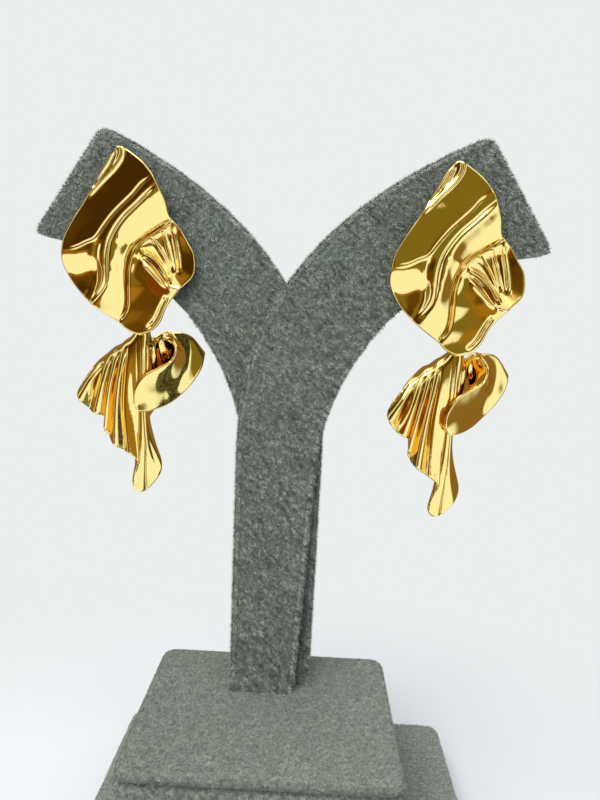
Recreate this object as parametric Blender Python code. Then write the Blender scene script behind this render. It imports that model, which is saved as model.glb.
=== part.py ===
"""A pair of dangle earrings of crumpled gold sheet, hung on a plain velvet display stand.

Sizes are millimetres and are turned into metres where meshes are made. +Z is up, +X is to the
viewer's right and the viewer stands on the -Y side. The origin is the middle of the underside
of the stand's plinth. "Front" in a table means towards the viewer.
"""
import math

import bmesh
import bpy
import numpy as np
from mathutils import Matrix, Vector
from mathutils.geometry import delaunay_2d_cdt

MM = 0.001
GAP = 0.3                    # clear space left between pieces that touch

# Stand: plinth, block and covered top board
PLINTH_WIDTH = 80.0
PLINTH_DEPTH = 70.0
PLINTH_HEIGHT = 8.0
BLOCK_WIDTH = 55.0
BLOCK_DEPTH = 51.5
BLOCK_HEIGHT = 17.0
BOARD_HEIGHT = 2.5
BLOCK_SHIFT = -3.7           # the block sits left of the plinth's middle
BLOCK_BACK = 3.75            # and behind it
CORNER_RADIUS = 3.5
STAND_EDGE = 1.1             # rounding of the covered edges

# Stand: two flat arms, one behind the other, each bending to its own side
ARM_THICKNESS = 4.5
ARM_SOCKET = 8.0             # depth of the slot that holds the foot of an arm
ARM_SETBACK = 10.45          # from the block's middle back to the joint between the arms
ARM_EDGE = 0.9
FOOT_OUTER = 8.7             # half widths of the post, from its middle line
FOOT_INNER = 5.2
POST_OUTER = 9.2             # where the outer edge starts to bend
POST_INNER = 7.8
OUTER_BEND_FROM = 56.0       # heights above the top board
INNER_BEND_FROM = 50.0
ARM_TOP = 125.0
ARM_TIP = 101.3
ARM_TOP_REACH = 41.8         # reach of the arm's end, top and bottom corner
ARM_TIP_REACH = 56.5
OUTER_BEND_RISE = 27.0       # handles of the two edge curves
OUTER_BEND_REACH = 11.0
OUTER_BEND_TOP = 107.0
INNER_BEND_RISE = 17.7
INNER_BEND_REACH = 11.3
INNER_BEND_TOP = 97.0
ARM_END_RADIUS = 2.5
CURVE_STEPS = 14

# Earrings
SHEET = 0.8                  # thickness of the crumpled metal
PLATE_HALF_WIDTH = 14.2
PLATE_HALF_HEIGHT = 19.8
PLATE_RELIEF = 3.0           # a fold's full height
DROP_WIDTH = 13.2            # reach from the hanging point to either side
DROP_HEIGHT = 36.8
DROP_DEPTH = 7.3
LIP_DEPTH = 3.45             # the drop's upper lip, leaning back from its front edge
LIP_RISE = 1.9
FLUTE_DEPTH = 1.0            # a flute's full height
WIRE = 0.8                   # thickness of the loops and the jump ring
EYE_RADIUS = 1.1             # middle of the wire
RING_RADIUS = 1.75
STAPLE_RISE = 2.2            # between the middles of the staple's legs
POST_WIDTH = 0.9
POST_BEYOND = 6.0            # stretch of the ear post behind the arm
NUT_RADIUS = 2.6
NUT_FLANGE = 0.9
NUT_BARREL = 1.5
NUT_LENGTH = 3.4
PLATE_CLEAR = 0.35           # between the plate's back and the velvet
DROP_CLEAR = 0.45            # between the plate's tip and the drop behind it

# Where the earrings hang: middle of the plate from the post's middle line, in hundredths of the
# reach of the arm's end, and how far it lies under the height of the arm's tip
LEFT_FALL = 1.4
RIGHT_FALL = 2.6
EARRINGS = (
    # name, across, fall, roll in degrees, side of the arm that carries it
    ("left", -81.82, LEFT_FALL, 0.6, -1),
    ("right", 86.36, RIGHT_FALL, -0.6, 1),
)
EAR_POST_ACROSS = 3.0        # ear post from the plate's middle
EAR_POST_UP = 9.0
HANG_SHIFT = 0.6             # hanging point from the plate's tip, across and down
HANG_FALL = 0.3

# Mesh fineness
RIM_STEPS = 66
PLATE_RINGS = 10
DROP_COLUMNS = 92
LIP_ROWS = 2
DROP_ROWS = 7                # rows of points below the lip
WIRE_SIDES = 6
RING_SIDES = 14
HOLE_SIDES = 12
POST_SIDES = 10
NUT_SIDES = 14
CORNER_STEPS = 4
EDGE_STEPS = 2
SHARP_ANGLE = 45.0           # degrees between faces that stay a sharp edge
RASTER = 0.25                # spacing of the raster that the plate's heights are read from

# The plate's rim, clockwise from the top: across, up and front in hundredths of the half
# width, the half height and the relief
PLATE_RIM = (
    ("top", -11, 100, 25),
    ("top right", 18, 87, 30),
    ("before upper crest", 35, 74, 38),
    ("upper crest", 43, 64, 45),
    ("after upper crest", 54, 47, -8),
    ("right waist", 60, 30, -58),
    ("lobe start", 74, 19, -70),
    ("lobe upper", 88, 3, -62),
    ("lobe side", 98, -11, -58),
    ("lobe lower", 98, -32, -50),
    ("lower crest", 80, -47, -38),
    ("sliver start", 66, -58, -78),
    ("sliver", 54, -70, -104),
    ("sliver low", 46, -84, -120),
    ("sliver end", 34, -94, -126),
    ("tip", 13, -100, -120),
    ("tip left", -7, -95, -116),
    ("spine end", -21, -86, -110),
    ("band end", -43, -76, -46),
    ("valley end", -61, -66, -32),
    ("left lobe lower", -84, -49, -54),
    ("left lobe", -99, -30, -40),
    ("left crest", -101, -15, 22),
    ("channel end", -97, 2, 30),
    ("left upper", -83, 22, 30),
    ("left shoulder", -66, 42, 24),
    ("fold edge low", -48, 65, 8),
    ("fold edge", -34, 84, 8),
    ("top left", -23, 95, 16),
)

# Creases inside the plate, each a run of points from one end to the other, in the same shares
PLATE_FOLDS = (
    ("channel", ((12, 76, 25), (-18, 52, 23), (-50, 24, 22), (-78, 4, 24))),
    ("crest foot", ((28, 65, 31), (1, 47, 30), (-27, 26, 29), (-46, 5, 28))),
    ("crest", ((36, 64, 36), (10, 46, 35), (-18, 25, 34), (-31, 8, 33), (-37, -10, 28),
               (-37, -28, 18), (-38, -44, 4), (-50, -59, -16))),
    ("slope edge", ((40, 60, 38), (17, 42, 37), (-8, 25, 35), (-22, 8, 33), (-28, -6, 28),
                    (-30, -24, 20), (-31, -42, 5))),
    ("spine", ((55, 24, -62), (37, 16, -60), (19, 7, -58), (7, -2, -50), (-2, -14, -42),
               (-7, -28, -46), (-8, -44, -58), (-9, -60, -76), (-11, -73, -92))),
    ("patch", ((-21, -1, 8), (-14, -16, -4))),
    ("patch right", ((3, -4, -16), (-6, -18, -14))),
    ("left lobe top", ((-48, -6, 25), (-62, -10, 25), (-82, -14, 24))),
    ("dimple", ((-50, -32, -36), (-66, -34, -46), (-80, -38, -52))),
    ("dimple low", ((-55, -52, -42), (-70, -52, -52))),
    ("bowl wall", ((52, 16, -108), (37, 9, -110), (22, 0, -100), (10, -10, -84))),
    ("bowl", ((60, 8, -122), (48, -2, -128), (56, -16, -120))),
    ("lobe foot", ((68, 10, -100), (70, -6, -96), (72, -24, -84), (66, -37, -68))),
    ("lower crest", ((12, -18, -64), (34, -28, -58), (54, -41, -46), (68, -46, -34))),
    ("lower hollow", ((4, -34, -78), (26, -46, -82), (44, -56, -84))),
    ("hollow low", ((6, -62, -92), (22, -72, -98), (8, -86, -110))),
    ("sliver line", ((52, -58, -78), (44, -68, -88), (36, -80, -100), (26, -91, -114))),
)

# The drop's sheet, swept from its left lobe over the tail and the back wall to the front flap.
# Spine: start of a stripe; rim: its far end; middle: shift of its middle; each across, front and
# down in hundredths of the drop's width, depth and height. Lip: share of the lip.
DROP_STRIPES = (
    # spine: across front down, rim: across front down, middle: across front down, lip
    ((-88, -11, 21), (-93, -8, 24), (0, 0, 0), 5),
    ((-78, -10, 18), (-112, 4, 37), (0, 6, 0), 45),
    ((-67, -8, 16), (-94, -10, 47), (0, 10, 0), 80),
    ((-55, -7, 13), (-71, -30, 52), (0, 12, 0), 100),
    ((-44, -6, 11), (-69, -38, 62), (-2, 12, 0), 100),
    ((-34, -5, 8), (-52, -43, 70), (-3, 10, 0), 100),
    ((-25, -4, 6), (-30, -47, 75), (-5, 9, 0), 100),
    ((-18, -3, 4), (-14, -50, 81), (-3, 2, 1), 100),
    ((-10, -2, 2), (-26, -74, 97), (10, -6, 16), 100),
    ((-6, -2, 2), (-5, -78, 100), (2, -6, 14), 100),
    ((-2, -2, 1), (23, -84, 86), (-10, -3, 16), 100),
    ((2, -6, 1), (9, -78, 69), (-5, -1, 11), 90),
    ((6, -13, 1), (-6, -82, 57), (2, 2, 4), 40),
    ((11, -24, 1), (14, -112, 43), (0, 10, 0), 0),
    ((17, -38, 0), (52, -140, 28), (0, 12, 0), 0),
    ((24, -53, -2), (86, -134, 14), (0, 12, -3), 0),
    ((32, -58, -3), (95, -104, 11), (2, 0, -5), 0),
    ((41, -46, 0), (91, -95, 20), (2, -10, -3), 0),
    ((50, -33, 6), (74, -94, 30), (0, -12, 0), 0),
    ((44, -26, 14), (56, -90, 37), (0, -14, 0), 0),
    ((22, -12, 19), (35, -63, 43), (0, -12, 0), 0),
    ((0, 0, 24), (14, -30, 46), (0, -8, 0), 0),
    ((-15, 4, 33), (-2, -12, 47), (0, -4, 0), 0),
    ((-17, -1, 42), (-10, -7, 46), (0, 0, 0), 0),
)
KNEE_SHARE = 0.10            # where a stripe without a lip has its second control point

# Ridges and grooves that run down the drop's sheet, in hundredths of the flute's full height
DROP_FLUTES = (
    # stripe it follows, height, reach in stripes, rows of the sheet over which it grows
    (0.70, -40, 0.30, 1.5),
    (1.30, 40, 0.30, 1.5),
    (1.90, -45, 0.30, 1.5),
    (2.50, 45, 0.30, 1.5),
    (3.10, -50, 0.30, 1.5),
    (3.70, 45, 0.30, 1.5),
    (4.40, -60, 0.36, 1.5),
    (5.20, 45, 0.36, 1.5),
    (6.10, -30, 0.36, 1.5),
)

# How the plate's folds are softened
FOLD_RADIUS = 0.35
WIDE_FOLD_RADIUS = 1.1
BACK_RADIUS = 1.0            # softness of the back, which follows the front more loosely
LEAST_SHEET = 0.45           # thickness left where a fold is sharp
SOFTEN = ((FOLD_RADIUS, 0.6), (WIDE_FOLD_RADIUS, 0.4))   # radius and share of each softening
RIM_MARGIN = 1.07            # how far the folds run on beyond the rim

LEAN_SHARE = -0.3            # the plate above this share of its half height lies over the arm

# Colour, roughness and metallic value of the two finishes
FINISHES = {
    "gold": ((0.83, 0.60, 0.22), 0.08, 1.0),
    "velvet": ((0.16, 0.19, 0.19), 0.95, 0.0),
}

PLINTH_TOP = PLINTH_HEIGHT
BLOCK_BOTTOM = PLINTH_TOP + GAP
BLOCK_TOP = BLOCK_BOTTOM + BLOCK_HEIGHT
BOARD_BOTTOM = BLOCK_TOP + GAP
BOARD_TOP = BOARD_BOTTOM + BOARD_HEIGHT
JOINT_Y = BLOCK_BACK + ARM_SETBACK
ARM_OFFSET = (ARM_THICKNESS + GAP) / 2


def clear_scene():
    for item in list(bpy.data.objects):
        bpy.data.objects.remove(item)


def finish_material(node, finish):
    colour, roughness, metallic = FINISHES[finish]
    material = bpy.data.materials.new(node + "_" + finish)
    material.use_nodes = True
    shader = material.node_tree.nodes["Principled BSDF"]
    shader.inputs["Base Color"].default_value = (*colour, 1.0)
    shader.inputs["Roughness"].default_value = roughness
    shader.inputs["Metallic"].default_value = metallic
    material.diffuse_color = (*colour, 1.0)
    return material


def add_object(name, shape, finish="", smooth=False):
    """Turn a bmesh in millimetres into an object in metres."""
    bmesh.ops.recalc_face_normals(shape, faces=shape.faces)
    bmesh.ops.scale(shape, vec=(MM, MM, MM), verts=shape.verts)
    mesh = bpy.data.meshes.new(name)
    shape.to_mesh(mesh)
    shape.free()
    item = bpy.data.objects.new(name, mesh)
    bpy.context.scene.collection.objects.link(item)
    if finish:
        mesh.materials.append(finish_material(name, finish))
    if smooth:
        mesh.shade_smooth()
        mesh.set_sharp_from_angle(angle=math.radians(SHARP_ANGLE))
    return item


def add_boolean(item, other, operation):
    other.hide_render = True
    other.display_type = "WIRE"
    modifier = item.modifiers.new(operation.lower() + " " + other.name, "BOOLEAN")
    modifier.operation = operation
    modifier.object = other


def move_to(item, place, angle=0.0):
    """Place an object: millimetres, and degrees of roll about the front-to-back axis."""
    item.location = Vector(place) * MM
    item.rotation_euler = (0.0, math.radians(-angle), 0.0)


# Curves


def bezier(start, handle_a, handle_b, end, steps):
    t = np.linspace(0.0, 1.0, steps + 1)[:, None]
    a, b, c, d = (np.array(p, dtype=float) for p in (start, handle_a, handle_b, end))
    return (1 - t) ** 3 * a + 3 * (1 - t) ** 2 * t * b + 3 * (1 - t) * t ** 2 * c + t ** 3 * d


def round_corner(before, corner, after, radius):
    """Points of an arc-like corner between two straight runs."""
    corner = np.array(corner, dtype=float)
    to_before = np.array(before, dtype=float) - corner
    to_after = np.array(after, dtype=float) - corner
    start = corner + to_before / np.linalg.norm(to_before) * radius
    end = corner + to_after / np.linalg.norm(to_after) * radius
    t = np.linspace(0.0, 1.0, CORNER_STEPS + 1)[:, None]
    return (1 - t) ** 2 * start + 2 * (1 - t) * t * corner + t ** 2 * end


def spline(points, at, closed=False):
    """Catmull-Rom curve through rows of points, read at parameters in rows."""
    points = np.array(points, dtype=float)
    count = len(points)
    at = np.asarray(at, dtype=float)
    cell = np.floor(at).astype(int)
    if not closed:
        cell = np.clip(cell, 0, count - 2)
    t = (at - cell).reshape((-1,) + (1,) * (points.ndim - 1))
    if closed:
        rows = [points[(cell + step) % count] for step in (-1, 0, 1, 2)]
    else:
        ends = np.concatenate([[2 * points[0] - points[1]], points, [2 * points[-1] - points[-2]]])
        rows = [ends[cell + 1 + step] for step in (-1, 0, 1, 2)]
    a, b, c, d = rows
    return 0.5 * (2 * b + (c - a) * t + (2 * a - 5 * b + 4 * c - d) * t ** 2
                  + (3 * b - a - 3 * c + d) * t ** 3)


# Solids


def prism(outline, low, high):
    """Closed solid between two heights over an outline in X and Y."""
    shape = bmesh.new()
    bottom = [shape.verts.new((x, y, low)) for x, y in outline]
    face = shape.faces.new(bottom)
    raised = bmesh.ops.extrude_face_region(shape, geom=[face])
    top = [v for v in raised["geom"] if isinstance(v, bmesh.types.BMVert)]
    bmesh.ops.translate(shape, vec=(0, 0, high - low), verts=top)
    return shape


def bevel_flat_edges(shape, heights, width):
    """Round the edges that lie in one of the two end faces of a prism."""
    edges = [e for e in shape.edges
             if any(all(abs(v.co.z - h) < 1e-6 for v in e.verts) for h in heights)]
    bmesh.ops.bevel(shape, geom=edges, offset=width, segments=EDGE_STEPS, profile=0.5,
                    affect="EDGES")
    return shape


def rounded_rectangle(width, depth, radius):
    corners = [(width / 2, -depth / 2), (width / 2, depth / 2),
               (-width / 2, depth / 2), (-width / 2, -depth / 2)]
    outline = []
    for index, corner in enumerate(corners):
        outline.extend(round_corner(corners[index - 1], corner, corners[(index + 1) % 4],
                                    radius))
    return outline


def box(width, depth, height):
    shape = bmesh.new()
    bmesh.ops.create_cube(shape, size=1.0)
    bmesh.ops.scale(shape, vec=(width, depth, height), verts=shape.verts)
    return shape


def tube(points, radius, sides, closed):
    """Round wire along a path that lies in one plane."""
    shape = bmesh.new()
    points = np.array(points, dtype=float)
    count = len(points)
    normal = np.cross(points[1] - points[0], points[count // 2] - points[0])
    normal /= np.linalg.norm(normal)
    loops = []
    for index in range(count):
        if closed:
            along = points[(index + 1) % count] - points[index - 1]
        else:
            along = points[min(index + 1, count - 1)] - points[max(index - 1, 0)]
        side = np.cross(along / np.linalg.norm(along), normal)
        turn = [2 * math.pi * (k + 0.5) / sides for k in range(sides)]
        loops.append([shape.verts.new(points[index] + radius * (math.cos(a) * side
                                                                + math.sin(a) * normal))
                      for a in turn])
    for index in range(count if closed else count - 1):
        near, far = loops[index], loops[(index + 1) % count]
        for k in range(sides):
            shape.faces.new((near[k], near[(k + 1) % sides], far[(k + 1) % sides], far[k]))
    if not closed:
        shape.faces.new(loops[0])
        shape.faces.new(loops[-1])
    return shape


def circle(middle, radius, steps, axis):
    """Points of a circle that turns about the X or the Y axis."""
    turns = [2 * math.pi * k / steps for k in range(steps)]
    if axis == "X":
        return [(middle[0], middle[1] + radius * math.cos(a), middle[2] + radius * math.sin(a))
                for a in turns]
    return [(middle[0] + radius * math.cos(a), middle[1], middle[2] + radius * math.sin(a))
            for a in turns]


def lathe(profile, steps):
    """Closed ring solid turned about the Y axis from (radius, y) points."""
    shape = bmesh.new()
    loops = []
    for k in range(steps):
        a = 2 * math.pi * k / steps
        loops.append([shape.verts.new((r * math.cos(a), y, r * math.sin(a))) for r, y in profile])
    for k in range(steps):
        near, far = loops[k], loops[(k + 1) % steps]
        for j in range(len(profile)):
            after = (j + 1) % len(profile)
            shape.faces.new((near[j], near[after], far[after], far[j]))
    return shape


def sheet_solid(front_grid, back_grid, around):
    """Closed solid between two layers of points; around joins the columns."""
    shape = bmesh.new()
    columns, rows = front_grid.shape[:2]
    front, back = ([[shape.verts.new(p) for p in column] for column in layer]
                   for layer in (front_grid, back_grid))
    last = columns if around else columns - 1
    for i in range(last):
        j = (i + 1) % columns
        for k in range(rows - 1):
            shape.faces.new((front[i][k], front[j][k], front[j][k + 1], front[i][k + 1]))
            shape.faces.new((back[i][k], back[i][k + 1], back[j][k + 1], back[j][k]))
        shape.faces.new((front[i][-1], front[j][-1], back[j][-1], back[i][-1]))
        if not around:
            shape.faces.new((front[i][0], back[i][0], back[j][0], front[j][0]))
    if around:
        for layer in (front, back):
            shape.faces.new([column[0] for column in layer])
    else:
        for i in (0, columns - 1):
            for k in range(rows - 1):
                shape.faces.new((front[i][k], front[i][k + 1], back[i][k + 1], back[i][k]))
    return shape


# Stand


def stand_slab(name, width, depth, low, high, middle):
    shape = prism(rounded_rectangle(width, depth, CORNER_RADIUS), low, high)
    bevel_flat_edges(shape, (low, high), STAND_EDGE)
    bmesh.ops.translate(shape, vec=(middle[0], middle[1], 0), verts=shape.verts)
    return add_object(name, shape, "velvet", smooth=True)


def arm_outline():
    """Outline of the arm that bends to the right: across, and up from the top board."""
    outer = bezier((-POST_OUTER, OUTER_BEND_FROM),
                   (-POST_OUTER, OUTER_BEND_FROM + OUTER_BEND_RISE),
                   (-POST_OUTER + OUTER_BEND_REACH, OUTER_BEND_TOP),
                   (ARM_TOP_REACH, ARM_TOP), CURVE_STEPS)
    inner = bezier((POST_INNER, INNER_BEND_FROM),
                   (POST_INNER, INNER_BEND_FROM + INNER_BEND_RISE),
                   (POST_INNER + INNER_BEND_REACH, INNER_BEND_TOP),
                   (ARM_TIP_REACH, ARM_TIP), CURVE_STEPS)
    top_corner = round_corner(outer[-2], outer[-1], inner[-1], ARM_END_RADIUS)
    tip_corner = round_corner(outer[-1], inner[-1], inner[-2], ARM_END_RADIUS)
    foot = [(FOOT_INNER, 0.0), (FOOT_INNER, -ARM_SOCKET), (-FOOT_OUTER, -ARM_SOCKET),
            (-FOOT_OUTER, 0.0)]
    return [*foot, *outer[:-1], *top_corner, *tip_corner, *inner[-2::-1]]


def build_arm(name, side, hole):
    """Flat arm: side 1 bends right and stands in front, side -1 bends left behind it."""
    outline = [(side * x, y) for x, y in arm_outline()]
    shape = prism(outline, 0.0, ARM_THICKNESS)
    bevel_flat_edges(shape, (0.0, ARM_THICKNESS), ARM_EDGE)
    upright = Matrix.Rotation(math.radians(90), 3, "X")
    bmesh.ops.rotate(shape, matrix=upright, verts=shape.verts)
    middle_y = JOINT_Y - side * ARM_OFFSET
    bmesh.ops.translate(shape, vec=(BLOCK_SHIFT, middle_y + ARM_THICKNESS / 2, BOARD_TOP),
                        verts=shape.verts)
    arm = add_object(name, shape, "velvet", smooth=True)
    cutter = bmesh.new()
    bmesh.ops.create_cone(cutter, cap_ends=True, segments=HOLE_SIDES, radius1=POST_WIDTH / 2 + GAP,
                          radius2=POST_WIDTH / 2 + GAP, depth=3 * ARM_THICKNESS)
    bmesh.ops.rotate(cutter, matrix=upright, verts=cutter.verts)
    bmesh.ops.translate(cutter, vec=(hole[0], middle_y, hole[1]), verts=cutter.verts)
    add_boolean(arm, add_object(name + "_hole_cutter", cutter), "DIFFERENCE")
    return arm


def cut_sockets(item):
    """Slots for the feet of the two arms, one behind the other."""
    for side in (1, -1):
        width = FOOT_OUTER + FOOT_INNER + 2 * GAP
        shape = box(width, ARM_THICKNESS + 2 * GAP, 2 * (ARM_SOCKET + GAP))
        middle = BLOCK_SHIFT + side * (FOOT_INNER - FOOT_OUTER) / 2
        # the two slots open into each other
        place = (middle, JOINT_Y - side * ARM_OFFSET, BOARD_TOP)
        bmesh.ops.translate(shape, vec=place, verts=shape.verts)
        cutter = add_object("%s_socket_cutter_%d" % (item.name, side), shape)
        add_boolean(item, cutter, "DIFFERENCE")


def build_stand(holes):
    stand_slab("plinth", PLINTH_WIDTH, PLINTH_DEPTH, 0.0, PLINTH_TOP, (0.0, 0.0))
    middle = (BLOCK_SHIFT, BLOCK_BACK)
    block = stand_slab("block", BLOCK_WIDTH, BLOCK_DEPTH, BLOCK_BOTTOM, BLOCK_TOP, middle)
    board = stand_slab("top_board", BLOCK_WIDTH, BLOCK_DEPTH, BOARD_BOTTOM, BOARD_TOP, middle)
    cut_sockets(block)
    cut_sockets(board)
    for name, side in (("left", -1), ("right", 1)):
        build_arm("arm_" + name, side, holes[side])


# Plate


def plate_points():
    """Rim points, crease points and crease edges of the plate, in millimetres."""
    scale = np.array([PLATE_HALF_WIDTH, PLATE_HALF_HEIGHT, PLATE_RELIEF]) / 100
    rim = np.array([row[1:] for row in PLATE_RIM]) * scale
    inner, edges = [], []
    for _, run in PLATE_FOLDS:
        first = len(rim) + len(inner)
        inner.extend(np.array(point) * scale for point in run)
        edges.extend((first + k, first + k + 1) for k in range(len(run) - 1))
    return rim, np.array(inner), edges


def facet_corners(rim, inner, edges):
    """Flat triangles between the creases: the three corners of each."""
    points = np.vstack([rim, inner])
    outline = [(k, (k + 1) % len(rim)) for k in range(len(rim))]
    flat = [Vector(p[:2]) for p in points]
    result = delaunay_2d_cdt(flat, outline + edges, [], 1, 1e-6)
    return np.array([[points[v] for v in face] for face in result[2]])


def facet_height(corners, across, up):
    """Front height of the facet model at flat arrays of places."""
    a, b, c = corners[:, 0], corners[:, 1], corners[:, 2]
    area = ((b[:, 0] - a[:, 0]) * (c[:, 1] - a[:, 1]) - (b[:, 1] - a[:, 1]) * (c[:, 0] - a[:, 0]))
    x, y = across[:, None], up[:, None]
    weight_b = ((x - a[:, 0]) * (c[:, 1] - a[:, 1]) - (y - a[:, 1]) * (c[:, 0] - a[:, 0])) / area
    weight_c = ((b[:, 0] - a[:, 0]) * (y - a[:, 1]) - (b[:, 1] - a[:, 1]) * (x - a[:, 0])) / area
    weight_a = 1 - weight_b - weight_c
    best = np.argmax(np.minimum(np.minimum(weight_a, weight_b), weight_c), axis=1)
    height = weight_a * a[:, 2] + weight_b * b[:, 2] + weight_c * c[:, 2]
    return height[np.arange(len(best)), best]


def blur_matrix(places, radius):
    """Weights that average a row of heights over a soft radius."""
    weight = np.exp(-0.5 * ((places[:, None] - places[None, :]) / radius) ** 2)
    return weight / weight.sum(axis=1, keepdims=True)


def height_field():
    """Heights of the plate's front and of its softer back on an even raster."""
    rim, inner, edges = plate_points()
    rim = rim * np.array([RIM_MARGIN, RIM_MARGIN, 1.0])
    corners = facet_corners(rim, inner, edges)
    reach_across, reach_up = PLATE_HALF_WIDTH * RIM_MARGIN, PLATE_HALF_HEIGHT * RIM_MARGIN
    across = np.arange(-reach_across, reach_across + RASTER, RASTER)
    up = np.arange(-reach_up, reach_up + RASTER, RASTER)
    flat_across, flat_up = (grid.ravel() for grid in np.meshgrid(across, up, indexing="ij"))
    raw = facet_height(corners, flat_across, flat_up).reshape(len(across), len(up))

    def soften(radius):
        return blur_matrix(across, radius) @ raw @ blur_matrix(up, radius).T

    front = sum(share * soften(radius) for radius, share in SOFTEN)
    return {"across": across, "up": up, "front": front, "back": soften(BACK_RADIUS)}


def read_field(field, layer, across, up):
    """Heights of one layer between the places of the raster."""
    height = field[layer]
    x = (np.asarray(across) - field["across"][0]) / RASTER
    y = (np.asarray(up) - field["up"][0]) / RASTER
    i = np.clip(np.floor(x).astype(int), 0, height.shape[0] - 2)
    j = np.clip(np.floor(y).astype(int), 0, height.shape[1] - 2)
    u, v = x - i, y - j
    return ((1 - u) * (1 - v) * height[i, j] + u * (1 - v) * height[i + 1, j]
            + (1 - u) * v * height[i, j + 1] + u * v * height[i + 1, j + 1])


def plate_layers():
    """Front and back of the plate as columns of points from its middle to its rim."""
    rim = plate_points()[0]
    outline = spline(rim[:, :2], np.arange(RIM_STEPS) * len(rim) / RIM_STEPS, closed=True)
    share = (np.arange(PLATE_RINGS) + 0.5) / (PLATE_RINGS - 0.5)
    flat = outline[:, None, :] * share[None, :, None]
    across, up = flat[..., 0], flat[..., 1]
    field = height_field()
    front = read_field(field, "front", across, up)
    back = np.minimum(read_field(field, "back", across, up) - SHEET, front - LEAST_SHEET)
    return (np.stack([across, -layer, up], axis=-1) for layer in (front, back))


def plate_inside(across, up):
    """Depth of the middle of the plate's sheet at one place."""
    field = height_field()
    return float(SHEET - read_field(field, "front", across, up)
                 - read_field(field, "back", across, up)) / 2


def tip_place():
    tip = next(row for row in PLATE_RIM if row[0] == "tip")
    return (tip[1] * PLATE_HALF_WIDTH / 100, tip[2] * PLATE_HALF_HEIGHT / 100,
            tip[3] * PLATE_RELIEF / 100)


# Drop


def drop_grid():
    """Middle surface of the drop as columns of points from its upper edge to its rim."""
    size = np.array([DROP_WIDTH, DROP_DEPTH, DROP_HEIGHT]) / 100
    to_space = np.array([1.0, -1.0, -1.0])
    spine = np.array([row[0] for row in DROP_STRIPES]) * size * to_space
    rim = np.array([row[1] for row in DROP_STRIPES]) * size * to_space
    shift = np.array([row[2] for row in DROP_STRIPES]) * size * to_space
    lip = np.array([row[3] for row in DROP_STRIPES])[:, None] / 100
    start = spine + lip * np.array([0.0, LIP_DEPTH, LIP_RISE])
    knee = spine + (rim - spine) * KNEE_SHARE * (1 - lip)
    middle = (knee + rim) / 2 + shift
    stripes = np.stack([start, knee, middle, rim], axis=1)
    columns = spline(stripes, np.linspace(0.0, len(stripes) - 1, DROP_COLUMNS))
    rows = np.concatenate([np.arange(LIP_ROWS) / LIP_ROWS, np.linspace(1.0, 3.0, DROP_ROWS)])
    grid = np.stack([spline(column, rows) for column in columns])
    return flute(grid, rows)


def flute(grid, rows):
    """Raise and sink narrow runs of the sheet that grow from the spine towards the rim."""
    stripe_at = np.linspace(0.0, len(DROP_STRIPES) - 1, len(grid))
    for place, height, reach, growth in DROP_FLUTES:
        wave = np.exp(-((stripe_at - place) / reach) ** 2)
        depth = np.clip((rows - 1.0) / growth, 0.0, 1.0)
        grid[:, :, 1] -= FLUTE_DEPTH * height / 100 * wave[:, None] * depth[None, :]
    return grid


def grid_normals(grid):
    along = np.gradient(grid, axis=0)
    down = np.gradient(grid, axis=1)
    normal = np.cross(along, down)
    return normal / np.linalg.norm(normal, axis=2, keepdims=True)


# Earrings


def build_plate(name, place, roll, arm_face):
    """Crumpled plate with its ear post and its hanging staple soldered on."""
    plate = add_object("plate_" + name, sheet_solid(*plate_layers(), around=True), "gold",
                       smooth=True)
    move_to(plate, place, roll)
    post_start = plate_inside(EAR_POST_ACROSS, EAR_POST_UP)
    post_end = arm_face - place[1] + ARM_THICKNESS + POST_BEYOND
    post = bmesh.new()
    bmesh.ops.create_cone(post, cap_ends=True, segments=POST_SIDES, radius1=POST_WIDTH / 2,
                          radius2=POST_WIDTH / 2, depth=post_end - post_start)
    bmesh.ops.rotate(post, matrix=Matrix.Rotation(math.radians(90), 3, "X"), verts=post.verts)
    bmesh.ops.translate(post, vec=(EAR_POST_ACROSS, (post_start + post_end) / 2, EAR_POST_UP),
                        verts=post.verts)
    post = add_object("ear_post_%s_tool" % name, post)
    move_to(post, place, roll)
    add_boolean(plate, post, "UNION")
    staple = add_object("staple_%s_tool" % name, staple_shape())
    move_to(staple, place, roll)
    add_boolean(plate, staple, "UNION")
    return plate


def link_places():
    """Places of the linked loops from the plate's middle: one above the other."""
    across, up, front = tip_place()
    hang = np.array([across + HANG_SHIFT, -front + SHEET + DROP_CLEAR + SHEET / 2,
                     up - HANG_FALL])
    eye = hang + np.array([0.0, LIP_DEPTH, LIP_RISE + EYE_RADIUS])
    eye_top = eye[2] + EYE_RADIUS
    ring_low = eye_top - WIRE - GAP
    ring = np.array([eye[0], eye[1], ring_low + RING_RADIUS])
    staple_low = ring_low + 2 * RING_RADIUS - WIRE - GAP
    return {"hang": hang, "eye": eye, "ring": ring, "staple_low": staple_low}


def staple_shape():
    """Wire staple, open towards the plate's back, that the jump ring hangs in."""
    links = link_places()
    x, ring_y = links["ring"][0], links["ring"][1]
    low = links["staple_low"]
    radius = STAPLE_RISE / 2
    back = ring_y + WIRE + GAP - radius + WIRE / 2
    turns = np.linspace(math.pi / 2, -math.pi / 2, RING_SIDES // 2)
    bend = [(x, back + radius * math.cos(a), low + radius + radius * math.sin(a)) for a in turns]
    start = (x, plate_inside(x, low + STAPLE_RISE), low + STAPLE_RISE)
    end = (x, plate_inside(x, low), low)
    return tube([start, *bend, end], WIRE / 2, WIRE_SIDES, closed=False)


def build_ring(name, place, roll):
    shape = tube(circle(link_places()["ring"], RING_RADIUS, RING_SIDES, "Y"), WIRE / 2,
                 WIRE_SIDES, closed=True)
    move_to(add_object("jump_ring_" + name, shape, "gold", smooth=True), place, roll)


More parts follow.
